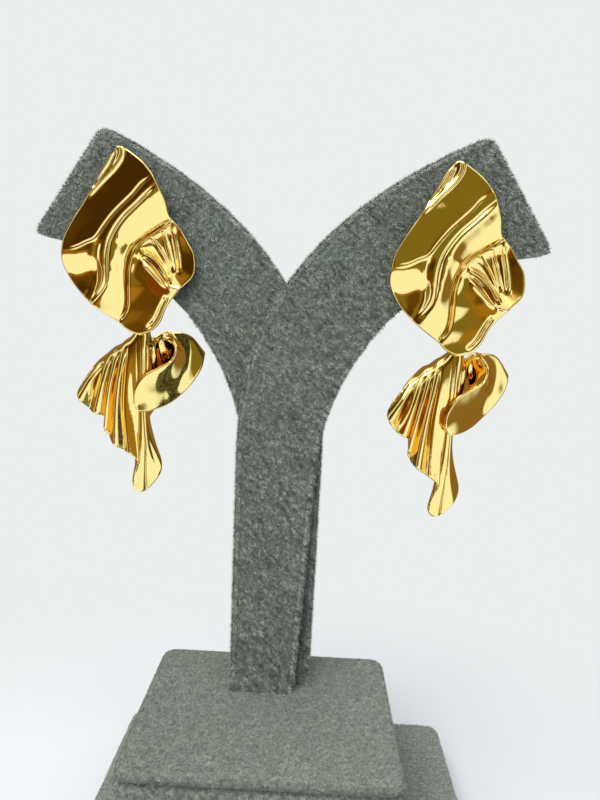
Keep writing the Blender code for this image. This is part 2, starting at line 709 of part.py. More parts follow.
def build_drop(name, place, roll):
    """Ruffled drop with its hanging eye soldered on."""
    links = link_places()
    grid = drop_grid()
    offset = grid_normals(grid) * SHEET / 2
    shape = sheet_solid(grid + offset, grid - offset, around=False)
    bmesh.ops.translate(shape, vec=links["hang"], verts=shape.verts)
    drop = add_object("drop_" + name, shape, "gold", smooth=True)
    move_to(drop, place, roll)
    eye = tube(circle(links["eye"], EYE_RADIUS, RING_SIDES, "X"), WIRE / 2, WIRE_SIDES,
               closed=True)
    eye = add_object("eye_%s_tool" % name, eye)
    move_to(eye, place, roll)
    add_boolean(drop, eye, "UNION")


def build_nut(name, place, roll, arm_back):
    """Plain friction nut on the ear post, behind the arm."""
    bore = POST_WIDTH / 2 + GAP
    profile = ((bore, 0.0), (NUT_RADIUS, 0.0), (NUT_RADIUS, NUT_FLANGE),
               (NUT_BARREL, NUT_FLANGE + NUT_BARREL / 2), (NUT_BARREL, NUT_LENGTH),
               (bore, NUT_LENGTH))
    shape = lathe(profile, NUT_SIDES)
    start = arm_back - place[1] + GAP
    bmesh.ops.translate(shape, vec=(EAR_POST_ACROSS, start, EAR_POST_UP), verts=shape.verts)
    move_to(add_object("ear_nut_" + name, shape, "gold", smooth=True), place, roll)


def post_place(place, roll):
    """World place of the ear post's axis: across and up."""
    turn = math.radians(roll)
    across = EAR_POST_ACROSS * math.cos(turn) - EAR_POST_UP * math.sin(turn)
    up = EAR_POST_ACROSS * math.sin(turn) + EAR_POST_UP * math.cos(turn)
    return place[0] + across, place[2] + up


def plate_place(across, fall, side):
    """Place of a plate's middle, so that its back just clears the arm behind it."""
    _, back = plate_layers()
    leaning = back[back[..., 2] > LEAN_SHARE * PLATE_HALF_HEIGHT]
    deepest = leaning[:, 1].max()
    arm_face = JOINT_Y - side * ARM_OFFSET - ARM_THICKNESS / 2
    place = (BLOCK_SHIFT + across * ARM_TOP_REACH / 100, arm_face - PLATE_CLEAR - deepest,
             BOARD_TOP + ARM_TIP - fall)
    return place, arm_face


def main():
    clear_scene()
    holes = {}
    for name, across, fall, roll, side in EARRINGS:
        place, arm_face = plate_place(across, fall, side)
        holes[side] = post_place(place, roll)
        build_plate(name, place, roll, arm_face)
        build_ring(name, place, roll)
        build_drop(name, place, roll)
        build_nut(name, place, roll, arm_face + ARM_THICKNESS)
    build_stand(holes)


main()
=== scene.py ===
"""The looks of a pair of crumpled gold dangle earrings on a grey velvet display stand.

Sizes in the tables are millimetres, as in the construction, and are turned into metres where
meshes are made. "Front" in a table means towards the viewer, who stands on the -Y side.
"""
import math

import bpy
import numpy as np
from mathutils import Matrix, Vector
from mathutils.geometry import delaunay_2d_cdt


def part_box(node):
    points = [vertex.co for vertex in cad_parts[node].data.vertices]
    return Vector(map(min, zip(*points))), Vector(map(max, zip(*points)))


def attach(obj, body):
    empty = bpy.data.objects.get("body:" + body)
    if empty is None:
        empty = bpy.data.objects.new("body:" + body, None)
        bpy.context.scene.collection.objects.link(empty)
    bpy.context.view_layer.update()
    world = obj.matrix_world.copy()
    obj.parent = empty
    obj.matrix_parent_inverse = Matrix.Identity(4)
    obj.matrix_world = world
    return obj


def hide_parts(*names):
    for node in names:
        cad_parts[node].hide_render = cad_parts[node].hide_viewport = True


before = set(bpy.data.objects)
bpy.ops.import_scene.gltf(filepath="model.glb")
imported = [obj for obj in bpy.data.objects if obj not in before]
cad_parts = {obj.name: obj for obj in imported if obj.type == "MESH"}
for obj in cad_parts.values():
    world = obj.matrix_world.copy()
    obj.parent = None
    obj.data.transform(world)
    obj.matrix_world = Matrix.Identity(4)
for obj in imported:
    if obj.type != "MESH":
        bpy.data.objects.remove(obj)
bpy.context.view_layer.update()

MM = 0.001
SEED = 7

# Earrings, with the sizes of the construction
SHEET = 0.8
PLATE_HALF_WIDTH = 14.2
PLATE_HALF_HEIGHT = 19.8
PLATE_RELIEF = 3.0
DROP_WIDTH = 13.2
DROP_HEIGHT = 36.8
DROP_DEPTH = 7.3
LIP_DEPTH = 3.45
LIP_RISE = 1.9
FLUTE_DEPTH = 1.0
WIRE = 0.8
EYE_RADIUS = 1.1
RING_RADIUS = 1.75
STAPLE_RISE = 2.2
POST_WIDTH = 0.9
DROP_CLEAR = 0.45
GAP = 0.3
HANG_SHIFT = 0.6
HANG_FALL = 0.3
EAR_POST = (3.0, 9.0)
POST_CHAMFER = 0.3
CORE = 0.02                  # radius that is left open along the middle of the post

# Fineness of the visible metal
RIM_STEPS = 420
PLATE_RINGS = 66
EDGE_RINGS = 5
FIRST_RING = 0.015           # innermost ring of the plate, as a share of the way to its rim
DROP_COLUMNS = 380
DROP_ROWS = 60
STRIPE_WIDTH = 1.6           # taken for one stripe and one row of the drop where its edge begins
ROW_LENGTH = 10.0
WIRE_SIDES = 16
TURNED_STEPS = 48
POST_STEPS = 24
EYE_STEPS = 40
BEND_STEPS = 24
NUT_SHARP = 50               # degrees between faces from which an edge of the nut is sharp

PLATE_RIM = (
    ("top", -11, 100, 25),
    ("top right", 18, 87, 30),
    ("before upper crest", 35, 74, 38),
    ("upper crest", 43, 64, 45),
    ("after upper crest", 54, 47, -8),
    ("right waist", 60, 30, -58),
    ("lobe start", 74, 19, -70),
    ("lobe upper", 88, 3, -62),
    ("lobe side", 98, -11, -58),
    ("lobe lower", 98, -32, -50),
    ("lower crest", 80, -47, -38),
    ("sliver start", 66, -58, -78),
    ("sliver", 54, -70, -104),
    ("sliver low", 46, -84, -120),
    ("sliver end", 34, -94, -126),
    ("tip", 13, -100, -120),
    ("tip left", -7, -95, -116),
    ("spine end", -21, -86, -110),
    ("band end", -43, -76, -46),
    ("valley end", -61, -66, -32),
    ("left lobe lower", -84, -49, -54),
    ("left lobe", -99, -30, -40),
    ("left crest", -101, -15, 22),
    ("channel end", -97, 2, 30),
    ("left upper", -83, 22, 30),
    ("left shoulder", -66, 42, 24),
    ("fold edge low", -48, 65, 8),
    ("fold edge", -34, 84, 8),
    ("top left", -23, 95, 16),
)

PLATE_FOLDS = (
    ("channel", ((12, 76, 25), (-18, 52, 23), (-50, 24, 22), (-78, 4, 24))),
    ("crest foot", ((28, 65, 31), (1, 47, 30), (-27, 26, 29), (-46, 5, 28))),
    ("crest", ((36, 64, 36), (10, 46, 35), (-18, 25, 34), (-31, 8, 33), (-37, -10, 28),
               (-37, -28, 18), (-38, -44, 4), (-50, -59, -16))),
    ("slope edge", ((40, 60, 38), (17, 42, 37), (-8, 25, 35), (-22, 8, 33), (-28, -6, 28),
                    (-30, -24, 20), (-31, -42, 5))),
    ("spine", ((55, 24, -62), (37, 16, -60), (19, 7, -58), (7, -2, -50), (-2, -14, -42),
               (-7, -28, -46), (-8, -44, -58), (-9, -60, -76), (-11, -73, -92))),
    ("patch", ((-21, -1, 8), (-14, -16, -4))),
    ("patch right", ((3, -4, -16), (-6, -18, -14))),
    ("left lobe top", ((-48, -6, 25), (-62, -10, 25), (-82, -14, 24))),
    ("dimple", ((-50, -32, -36), (-66, -34, -46), (-80, -38, -52))),
    ("dimple low", ((-55, -52, -42), (-70, -52, -52))),
    ("bowl wall", ((52, 16, -108), (37, 9, -110), (22, 0, -100), (10, -10, -84))),
    ("bowl", ((60, 8, -122), (48, -2, -128), (56, -16, -120))),
    ("lobe foot", ((68, 10, -100), (70, -6, -96), (72, -24, -84), (66, -37, -68))),
    ("lower crest", ((12, -18, -64), (34, -28, -58), (54, -41, -46), (68, -46, -34))),
    ("lower hollow", ((4, -34, -78), (26, -46, -82), (44, -56, -84))),
    ("hollow low", ((6, -62, -92), (22, -72, -98), (8, -86, -110))),
    ("sliver line", ((52, -58, -78), (44, -68, -88), (36, -80, -100), (26, -91, -114))),
)

PLATE_CREASES = (
    # name, height, half width in mm, run: across and up
    ("corner ridge", 18, 0.38, ((-10, 103), (-9, 90), (-20, 77), (-40, 62), (-62, 44))),
    ("corner groove", -16, 0.38, ((-18, 97), (-29, 80), (-46, 63), (-54, 55))),
    ("crest ridge", 7, 0.34, ((40, 71), (22, 62), (8, 50), (-6, 40), (-21, 29), (-34, 17),
                              (-48, 3), (-62, -2), (-80, -8), (-104, -11))),
    ("crest groove", -13, 0.40, ((48, 65), (29, 52), (13, 40), (-3, 29), (-17, 16), (-27, 2),
                                 (-32, -14), (-33, -30), (-36, -46), (-50, -60), (-62, -70))),
    ("band edge", 13, 1.20, ((50, 58), (30, 44), (14, 33), (-3, 20), (-14, 6), (-21, -10),
                             (-24, -30), (-27, -46))),
    ("valley groove", -10, 0.62, ((-42, 2), (-47, -10), (-48, -28), (-49, -45), (-59, -61),
                                  (-68, -70))),
    ("spine groove", -30, 0.38, ((66, 29), (52, 21), (35, 13), (17, 4), (6, -5), (0, -16),
                                 (-4, -30), (-5, -45), (-5, -60), (-9, -74), (-24, -90))),
    ("beak", 26, 0.38, ((14, -6), (34, -13), (50, -25), (66, -43))),
    ("beak groove", -18, 0.38, ((17, -14), (34, -23), (50, -37), (62, -49))),
    ("bowl fold", 14, 0.40, ((28, 8), (40, -2), (52, -16), (62, -32))),
    ("lobe fold", 16, 0.38, ((46, 18), (53, 4), (60, -12), (66, -30))),
    ("lobe fold side", 15, 0.38, ((62, 24), (68, 6), (73, -12), (76, -32))),
    ("lower ridge", 12, 0.38, ((18, -20), (38, -34), (56, -45), (86, -50))),
    ("sliver groove", -20, 0.38, ((56, -56), (47, -68), (38, -82), (24, -94))),
)
CREASE_FADE = 0.12           # share of a crease over which each end fades
CREASE_STEPS = 4             # straight pieces between two points of a crease

DROP_STRIPES = (
    # spine: across front down, rim: across front down, middle: across front down, lip
    ((-88, -11, 21), (-93, -8, 24), (0, 0, 0), 5),
    ((-78, -10, 18), (-112, 4, 37), (0, 6, 0), 45),
    ((-67, -8, 16), (-94, -10, 47), (0, 10, 0), 80),
    ((-55, -7, 13), (-71, -30, 52), (0, 12, 0), 100),
    ((-44, -6, 11), (-69, -38, 62), (-2, 12, 0), 100),
    ((-34, -5, 8), (-52, -43, 70), (-3, 10, 0), 100),
    ((-25, -4, 6), (-30, -47, 75), (-5, 9, 0), 100),
    ((-18, -3, 4), (-14, -50, 81), (-3, 2, 1), 100),
    ((-10, -2, 2), (-26, -74, 97), (10, -6, 16), 100),
    ((-6, -2, 2), (-5, -78, 100), (2, -6, 14), 100),
    ((-2, -2, 1), (23, -84, 86), (-10, -3, 16), 100),
    ((2, -6, 1), (9, -78, 69), (-5, -1, 11), 90),
    ((6, -13, 1), (-6, -82, 57), (2, 2, 4), 40),
    ((11, -24, 1), (14, -112, 43), (0, 10, 0), 0),
    ((17, -38, 0), (52, -140, 28), (0, 12, 0), 0),
    ((24, -53, -2), (86, -134, 14), (0, 12, -3), 0),
    ((32, -58, -3), (95, -104, 11), (2, 0, -5), 0),
    ((41, -46, 0), (91, -95, 20), (2, -10, -3), 0),
    ((50, -33, 6), (74, -94, 30), (0, -12, 0), 0),
    ((44, -26, 14), (56, -90, 37), (0, -14, 0), 0),
    ((22, -12, 19), (35, -63, 43), (0, -12, 0), 0),
    ((0, 0, 24), (14, -30, 46), (0, -8, 0), 0),
    ((-15, 4, 33), (-2, -12, 47), (0, -4, 0), 0),
    ((-17, -1, 42), (-10, -7, 46), (0, 0, 0), 0),
)
KNEE_SHARE = 0.10            # how far from spine to rim a stripe bends

DROP_FLUTES = (
    # stripe it follows, height, reach in stripes, rows of the sheet over which it grows
    (0.70, -60, 0.28, 0.8),
    (1.30, 60, 0.26, 0.8),
    (1.90, -75, 0.24, 0.8),
    (2.50, 70, 0.24, 0.8),
    (3.10, -95, 0.26, 0.7),
    (3.70, 75, 0.24, 0.7),
    (4.30, -110, 0.28, 0.6),
    (4.95, 80, 0.28, 0.6),
    (5.60, -60, 0.24, 0.5),
    (7.60, -45, 0.13, 1.0),
    (9.00, -50, 0.14, 1.2),
    (9.60, 30, 0.20, 0.9),
    (11.0, -50, 0.30, 0.5),
    (11.9, 50, 0.28, 0.4),
    (12.6, -35, 0.22, 0.4),
    (13.1, 30, 0.20, 0.3),
    (13.6, -30, 0.20, 0.3),
    (14.1, 30, 0.20, 0.3),
    (14.6, -30, 0.20, 0.3),
    (15.1, 30, 0.20, 0.3),
)

RASTER = 0.12                # spacing of the raster that the plate's heights are read from
RIM_MARGIN = 1.07            # how far the folds run on beyond the rim
RASTER_TOP = 1.001           # keeps a reading inside the last cell of the raster
SOFTEN = ((0.35, 0.6), (1.1, 0.4))         # radii that the front is blurred with, and their shares
FRONT, BACK = 2, 3           # layers of the raster
BACK_RADIUS = 1.0            # softness of the back, which follows the front more loosely
LEAST_SHEET = 0.45           # thickness left where a groove is sharp

# Middle of each plate in the frame, and its roll in degrees
PLATES = {
    "left": ((-37.9, 9.643, 128.0), 0.6),
    "right": ((32.4, 4.843, 126.8), -0.6),
}

# Velvet pile: fibres on each piece of the stand, their length, the direction they lean in, how
# bright the tufts are and how much they differ, and whether a seam runs along the flat faces
PILE = (
    # node, fibres, length, lean across and up, brightness, contrast, seam
    ("arm_left", 135000, 0.95, (0.8, -0.6), 0.46, 1.0, True),
    ("arm_right", 135000, 0.95, (0.8, -0.6), 0.43, 1.0, True),
    ("top_board", 110000, 0.5, (0.5, 0.5), 0.54, 0.30, False),
    ("block", 60000, 0.8, (0.5, -0.6), 0.42, 0.7, False),
    ("plinth", 90000, 0.5, (0.5, 0.5), 0.56, 0.25, False),
)
TUFT_WIDTH = 0.42            # size of the tufts across and along the way the pile is combed
TUFT_LENGTH = 1.3
SEAM_HALF_WIDTH = 0.30
SEAM_INSET = 0.35            # seam from the edge of the flat face
EDGE_CELL = 0.25             # raster on which distances from that edge are counted
EDGE_CELLS = 6
TUFT_TABLE = (61, 67, 71)    # random values that the tufts are read from, cell by cell
UNDERSIDE = -0.6             # faces that look further down than this grow no pile
FLAT_FACE = 0.999            # how squarely a flat face of an arm looks to the front or back
COMB_FORWARD = 0.3           # share of the lean up or down that also goes to the front
DISORDER = 0.55              # spread of the fibres' directions, and of their faces' turn
TURN_DISORDER = 0.5
FIBRE_RISE = (0.45, 0.95)    # how steeply fibres stand, as the sine of the angle
FIBRE_REACH = (0.6, 1.15)    # their lengths, as shares of a row's length
FIBRE_HALF_WIDTH = (0.05, 0.10)
FIBRE_SHADE = 0.12           # spread of brightness from fibre to fibre
LEAST_BRIGHT = 0.03
ROOT_PAINTED_SHADE = 0.4             # painted shade deep in the pile: brightness of a fibre's root, as a share of its tip's
SEAM_SHADE = 0.25            # brightness and length of the fibres in a seam, as shares
SEAM_REACH = 0.45
EDGE_PAINTED_SHEEN = 1.25            # painted sheen: what brightness is multiplied by on the arms' narrow faces
TABLE_CLEAR = 0.02           # lowest height of a fibre's tip

# Floor: radii of its rings in metres, and the radii between which it fades
FLOOR_STEPS = 96
FLOOR_RADII = (0.0005, 0.25, 0.8, 1.6, 3.0)
FLOOR_FADE = (0.05, 0.15)

# What the gold mirrors, each zone laid over those before it: direction, the angles in degrees
# at which it begins and is full, colour
ROOM_COLOUR = (0.26, 0.18, 0.06)
ROOM_ZONES = (
    ((0.0, -1.0, 0.0), 76, 62, (1.05, 1.28, 1.80)),
    ((0.0, 0.0, 1.0), 48, 36, (1.0, 1.1, 1.3)),
    ((0.0, -0.25, -1.0), 62, 44, (1.05, 1.28, 1.80)),
    ((-0.28, -1.0, 0.0), 37, 34, (0.36, 0.22, 0.03)),
    ((-0.32, -1.0, 0.05), 31, 14, (0.13, 0.07, 0.008)),
    ((-0.45, -1.0, 0.20), 18, 6, (0.06, 0.03, 0.005)),
    ((0.38, -1.0, 0.10), 26, 18, (0.22, 0.19, 0.04)),
    ((-0.95, -1.0, -0.55), 20, 12, (0.20, 0.06, 0.006)),
    ((0.20, -1.0, 0.55), 9, 5, (1.5, 1.6, 1.6)),
)
ROOM_SQUEEZE = 1.1           # makes the zones a little lower than they are wide
BACKGROUND = (0.83, 0.86, 0.85)            # what the camera sees behind the floor

# Lights: name, place, size, power, and whether the gold mirrors it; metres and watts
LIGHT_AIM = (0.0, 0.0, 0.1)
LIGHTS = (
    ("top_softbox", (-0.15, -0.05, 0.75), (0.7, 0.6), 6.0, True),
    ("front_softbox", (-0.35, -0.8, 0.55), (0.7, 0.6), 9.0, False),
)

# Camera of the photograph
CAMERA_PLACE = (2.873, -147.512, 113.35)
CAMERA_TURN = (-0.886, -6.377, 2.64)       # yaw, pitch, roll in degrees
CAMERA_LENS = 32.608
SENSOR_WIDTH = 36.0
NEAREST_SEEN = 0.005


# Materials


def new_material(name):
    material = bpy.data.materials.new(name)
    material.use_nodes = True
    return material, material.node_tree.nodes, material.node_tree.links


def gold_material():
    material, nodes, links = new_material("polished_gold")
    shader = nodes["Principled BSDF"]
    shader.inputs["Base Color"].default_value = (0.94, 0.67, 0.19, 1.0)
    shader.inputs["Metallic"].default_value = 1.0
    place = nodes.new("ShaderNodeTexCoord")
    ripple = nodes.new("ShaderNodeTexNoise")
    ripple.inputs["Scale"].default_value = 420.0
    ripple.inputs["Detail"].default_value = 3.0
    links.new(place.outputs["Object"], ripple.inputs["Vector"])
    bump = nodes.new("ShaderNodeBump")
    bump.inputs["Strength"].default_value = 0.12
    bump.inputs["Distance"].default_value = 0.0002
    links.new(ripple.outputs["Fac"], bump.inputs["Height"])
    links.new(bump.outputs["Normal"], shader.inputs["Normal"])
    smear = nodes.new("ShaderNodeTexNoise")
    smear.inputs["Scale"].default_value = 90.0
    smear.inputs["Detail"].default_value = 4.0
    links.new(place.outputs["Object"], smear.inputs["Vector"])
    rough = nodes.new("ShaderNodeMapRange")
    rough.inputs["From Min"].default_value = 0.3
    rough.inputs["From Max"].default_value = 0.75
    rough.inputs["To Min"].default_value = 0.03
    rough.inputs["To Max"].default_value = 0.10
    links.new(smear.outputs["Fac"], rough.inputs["Value"])
    links.new(rough.outputs["Result"], shader.inputs["Roughness"])
    return material


def velvet_base_material():
    material, nodes, links = new_material("velvet_ground")
    shader = nodes["Principled BSDF"]
    shader.inputs["Roughness"].default_value = 0.95
    shader.inputs["Sheen Weight"].default_value = 0.3
    shader.inputs["Sheen Roughness"].default_value = 0.5
    place = nodes.new("ShaderNodeTexCoord")
    weave = nodes.new("ShaderNodeTexNoise")
    weave.inputs["Scale"].default_value = 1400.0
    weave.inputs["Detail"].default_value = 2.0
    links.new(place.outputs["Object"], weave.inputs["Vector"])
    ramp = nodes.new("ShaderNodeValToRGB")
    ramp.color_ramp.elements[0].position = 0.35
    ramp.color_ramp.elements[0].color = (0.075, 0.085, 0.066, 1.0)
    ramp.color_ramp.elements[1].position = 0.70
    ramp.color_ramp.elements[1].color = (0.19, 0.21, 0.165, 1.0)
    links.new(weave.outputs["Fac"], ramp.inputs["Fac"])
    links.new(ramp.outputs["Color"], shader.inputs["Base Color"])
    bump = nodes.new("ShaderNodeBump")
    bump.inputs["Strength"].default_value = 0.6
    bump.inputs["Distance"].default_value = 0.0003
    links.new(weave.outputs["Fac"], bump.inputs["Height"])
    links.new(bump.outputs["Normal"], shader.inputs["Normal"])
    return material


def pile_material():
    material, nodes, links = new_material("velvet_pile")
    shader = nodes["Principled BSDF"]
    shader.inputs["Roughness"].default_value = 0.85
    shader.inputs["Sheen Weight"].default_value = 0.35
    shader.inputs["Sheen Roughness"].default_value = 0.4
    # The attribute carries each fibre's brightness: its own tone, painted shade towards the root
    # and painted sheen on the arms' narrow faces; the ramp turns it into colour.
    tip = nodes.new("ShaderNodeAttribute")
    tip.attribute_name = "tip"
    ramp = nodes.new("ShaderNodeValToRGB")
    ramp.color_ramp.elements[0].position = 0.0
    ramp.color_ramp.elements[0].color = (0.035, 0.042, 0.030, 1.0)
    ramp.color_ramp.elements[1].position = 1.0
    ramp.color_ramp.elements[1].color = (0.50, 0.54, 0.43, 1.0)
    links.new(tip.outputs["Fac"], ramp.inputs["Fac"])
    links.new(ramp.outputs["Color"], shader.inputs["Base Color"])
    return material


# Curves and sheets


def spline(points, at, closed=False):
    """Catmull-Rom curve through rows of points, read at parameters in rows."""
    points = np.array(points, dtype=float)
    count = len(points)
    at = np.asarray(at, dtype=float)
    cell = np.floor(at).astype(int)
    if not closed:
        cell = np.clip(cell, 0, count - 2)
    t = (at - cell).reshape((-1,) + (1,) * (points.ndim - 1))
    if closed:
        rows = [points[(cell + step) % count] for step in (-1, 0, 1, 2)]
    else:
        ends = np.concatenate([[2 * points[0] - points[1]], points, [2 * points[-1] - points[-2]]])
        rows = [ends[cell + 1 + step] for step in (-1, 0, 1, 2)]
    a, b, c, d = rows
    return 0.5 * (2 * b + (c - a) * t + (2 * a - 5 * b + 4 * c - d) * t ** 2
                  + (3 * b - a - 3 * c + d) * t ** 3)


def mesh_piece(name, points, faces, material):
    """Object in metres from points in millimetres."""
    mesh = bpy.data.meshes.new(name)
    mesh.from_pydata((np.asarray(points) * MM).tolist(), [], faces)
    mesh.validate()
    mesh.materials.append(material)
    mesh.shade_smooth()
    piece = bpy.data.objects.new(name, mesh)
    bpy.context.scene.collection.objects.link(piece)
    return piece


def place_points(points, place, roll):
    """Roll points about the front-to-back axis and move them to their place."""
    turn = math.radians(roll)
    x, y, z = points[..., 0], points[..., 1], points[..., 2]
    return np.stack([x * math.cos(turn) - z * math.sin(turn) + place[0], y + place[1],
                     x * math.sin(turn) + z * math.cos(turn) + place[2]], axis=-1)


def grid_faces(front, back, around):
    """Faces of a closed sheet from two grids of point numbers."""
    faces = []
    columns, rows = front.shape
    last = columns if around else columns - 1
    for i in range(last):
        j = (i + 1) % columns
        for k in range(rows - 1):
            faces.append((front[i, k], front[i, k + 1], front[j, k + 1], front[j, k]))
            faces.append((back[i, k], back[j, k], back[j, k + 1], back[i, k + 1]))
    return [tuple(int(v) for v in face) for face in faces]


# Plate


def plate_points():
    scale = np.array([PLATE_HALF_WIDTH, PLATE_HALF_HEIGHT, PLATE_RELIEF]) / 100
    rim = np.array([row[1:] for row in PLATE_RIM]) * scale
    inner, edges = [], []
    for _, run in PLATE_FOLDS:
        first = len(rim) + len(inner)
        inner.extend(np.array(point) * scale for point in run)
        edges.extend((first + k, first + k + 1) for k in range(len(run) - 1))
    return rim, np.array(inner), edges


def facet_corners(rim, inner, edges):
    points = np.vstack([rim, inner])
    outline = [(k, (k + 1) % len(rim)) for k in range(len(rim))]
    flat = [Vector(p[:2]) for p in points]
    result = delaunay_2d_cdt(flat, outline + edges, [], 1, 1e-6)
    return np.array([[points[v] for v in face] for face in result[2]])


def facet_height(corners, across, up):
    a, b, c = corners[:, 0], corners[:, 1], corners[:, 2]
    area = ((b[:, 0] - a[:, 0]) * (c[:, 1] - a[:, 1]) - (b[:, 1] - a[:, 1]) * (c[:, 0] - a[:, 0]))
    x, y = across[:, None], up[:, None]
    weight_b = ((x - a[:, 0]) * (c[:, 1] - a[:, 1]) - (y - a[:, 1]) * (c[:, 0] - a[:, 0])) / area
    weight_c = ((b[:, 0] - a[:, 0]) * (y - a[:, 1]) - (b[:, 1] - a[:, 1]) * (x - a[:, 0])) / area
    weight_a = 1 - weight_b - weight_c
    best = np.argmax(np.minimum(np.minimum(weight_a, weight_b), weight_c), axis=1)
    height = weight_a * a[:, 2] + weight_b * b[:, 2] + weight_c * c[:, 2]
    return height[np.arange(len(best)), best]


def blur_matrix(places, radius):
    """Weights that average a row of heights over a soft radius."""
    weight = np.exp(-0.5 * ((places[:, None] - places[None, :]) / radius) ** 2)
    return weight / weight.sum(axis=1, keepdims=True)


def crease_height(across, up):
    """Heights that the narrow ridges and grooves add at a row of places."""
    places = np.stack([across, up], axis=1)
    rows = np.arange(len(places))
    total = np.zeros(len(places))
    for _, height, reach, run in PLATE_CREASES:
        run = np.array(run) * np.array([PLATE_HALF_WIDTH, PLATE_HALF_HEIGHT]) / 100
        spans = len(run) - 1
        line = spline(run, np.linspace(0, spans, CREASE_STEPS * spans + 1))
        start, step = line[:-1], np.diff(line, axis=0)
        share = ((places[:, None] - start) * step).sum(axis=2) / (step ** 2).sum(axis=1)
        share = np.clip(share, 0.0, 1.0)
        away = np.linalg.norm(places[:, None] - start - share[..., None] * step, axis=2)
        near = away.argmin(axis=1)
        along = (near + share[rows, near]) / len(step)
        fade = np.clip(np.minimum(along, 1 - along) / CREASE_FADE, 0.0, 1.0)
        total += height * fade * np.exp(-(away[rows, near] / reach) ** 2)
    return total * PLATE_RELIEF / 100


def height_field():
    """Heights of the plate's front and of its softer back on an even raster."""
    rim, inner, edges = plate_points()
    rim = rim * np.array([RIM_MARGIN, RIM_MARGIN, 1.0])
    corners = facet_corners(rim, inner, edges)
    reach_across, reach_up = PLATE_HALF_WIDTH * RIM_MARGIN, PLATE_HALF_HEIGHT * RIM_MARGIN
    across = np.arange(-reach_across, reach_across + RASTER, RASTER)
    up = np.arange(-reach_up, reach_up + RASTER, RASTER)
    flat_across, flat_up = (grid.ravel() for grid in np.meshgrid(across, up, indexing="ij"))
    shape = (len(across), len(up))
    raw = facet_height(corners, flat_across, flat_up).reshape(shape)

    def soften(radius):
        return blur_matrix(across, radius) @ raw @ blur_matrix(up, radius).T

    front = sum(share * soften(radius) for radius, share in SOFTEN)
    front = front + crease_height(flat_across, flat_up).reshape(shape)
    return across, up, front, soften(BACK_RADIUS)


def read_field(field, layer, across, up):
    """Heights of one layer between the places of the raster."""
    height = field[layer]
    x = np.clip((np.asarray(across) - field[0][0]) / RASTER, 0, height.shape[0] - RASTER_TOP)
    y = np.clip((np.asarray(up) - field[1][0]) / RASTER, 0, height.shape[1] - RASTER_TOP)
    i, j = np.floor(x).astype(int), np.floor(y).astype(int)
    u, v = x - i, y - j
    return ((1 - u) * (1 - v) * height[i, j] + u * (1 - v) * height[i + 1, j]
            + (1 - u) * v * height[i, j + 1] + u * v * height[i + 1, j + 1])


def rounded_edge(inward, half):
    """Half thickness of a sheet at a distance inward from its rim, which is rounded."""
    reach = np.clip(inward / half, 0.0, 1.0)
    return half * np.sqrt(1 - (1 - reach) ** 2)


def plate_shape():
    """Points and faces of the plate about its middle."""
    rim = plate_points()[0]
    outline = spline(rim[:, :2], np.arange(RIM_STEPS) * len(rim) / RIM_STEPS, closed=True)
    half = SHEET / 2
    size = np.linalg.norm(outline, axis=1)
    inward = half * (1 - np.sin(np.linspace(0, math.pi / 2, EDGE_RINGS)))[:, None]
    edge_share = 1 - inward / size[None, :]
    inner_share = np.linspace(FIRST_RING, 1.0, PLATE_RINGS)[:-1, None] * edge_share[0][None, :]
    share = np.concatenate([inner_share, edge_share]).T
    depth_in = (1 - share) * size[:, None]
    flat = outline[:, None, :] * share[:, :, None]
    across, up = flat[..., 0].ravel(), flat[..., 1].ravel()
    field = height_field()
    front = read_field(field, FRONT, across, up)
    back = np.minimum(read_field(field, BACK, across, up) - SHEET, front - LEAST_SHEET)
    middle, thick = (front + back) / 2, (front - back) / 2
    thick *= rounded_edge(depth_in.ravel(), half) / half
    return close_sheet(np.stack([across, -middle - thick, up], axis=-1),
                       np.stack([across, -middle + thick, up], axis=-1), share.shape, True)


def close_sheet(front, back, shape, around):
    """Join two layers along their rims; the last row of both layers lies on the rim."""
    columns, rows = shape
    count = columns * rows
    front_ids = np.arange(count).reshape(shape)
    back_ids = front_ids + count
    back_ids[:, -1] = front_ids[:, -1]
    points = np.vstack([front, back])
    if not around:
        back_ids[0], back_ids[-1] = front_ids[0], front_ids[-1]
        back_ids[:, 0] = front_ids[:, 0]
    faces = grid_faces(front_ids, back_ids, around)
    if around:
        faces.append([int(v) for v in front_ids[:, 0]])
        faces.append([int(v) for v in back_ids[::-1, 0]])
    used = np.zeros(len(points), bool)
    used[np.concatenate([np.array(face) for face in faces])] = True
    number = np.cumsum(used) - 1
    return points[used], [[int(number[v]) for v in face] for face in faces]


def plate_inside(across, up):
    """Depth of the middle of the plate's sheet at one place."""
    field = height_field()
    return float(SHEET - read_field(field, FRONT, across, up)
                 - read_field(field, BACK, across, up)) / 2


# Drop


def drop_grid():
    size = np.array([DROP_WIDTH, DROP_DEPTH, DROP_HEIGHT]) / 100
    to_space = np.array([1.0, -1.0, -1.0])
    spine = np.array([row[0] for row in DROP_STRIPES]) * size * to_space
    rim = np.array([row[1] for row in DROP_STRIPES]) * size * to_space
    shift = np.array([row[2] for row in DROP_STRIPES]) * size * to_space
    lip = np.array([row[3] for row in DROP_STRIPES])[:, None] / 100
    start = spine + lip * np.array([0.0, LIP_DEPTH, LIP_RISE])
    knee = spine + (rim - spine) * KNEE_SHARE * (1 - lip)
    middle = (knee + rim) / 2 + shift
    stripes = np.stack([start, knee, middle, rim], axis=1)
    half = SHEET / 2
    stripe_at = edge_steps(len(stripes) - 1, DROP_COLUMNS, half / STRIPE_WIDTH)
    columns = spline(stripes, stripe_at)
    rows = edge_steps(stripes.shape[1] - 1, DROP_ROWS, half / ROW_LENGTH)
    grid = np.stack([spline(column, rows) for column in columns])
    for place, height, reach, growth in DROP_FLUTES:
        wave = np.exp(-((stripe_at - place) / reach) ** 2)
        depth = np.clip((rows - 1.0) / growth, 0.0, 1.0)
        grid[:, :, 1] -= FLUTE_DEPTH * height / 100 * wave[:, None] * depth[None, :]
    return grid


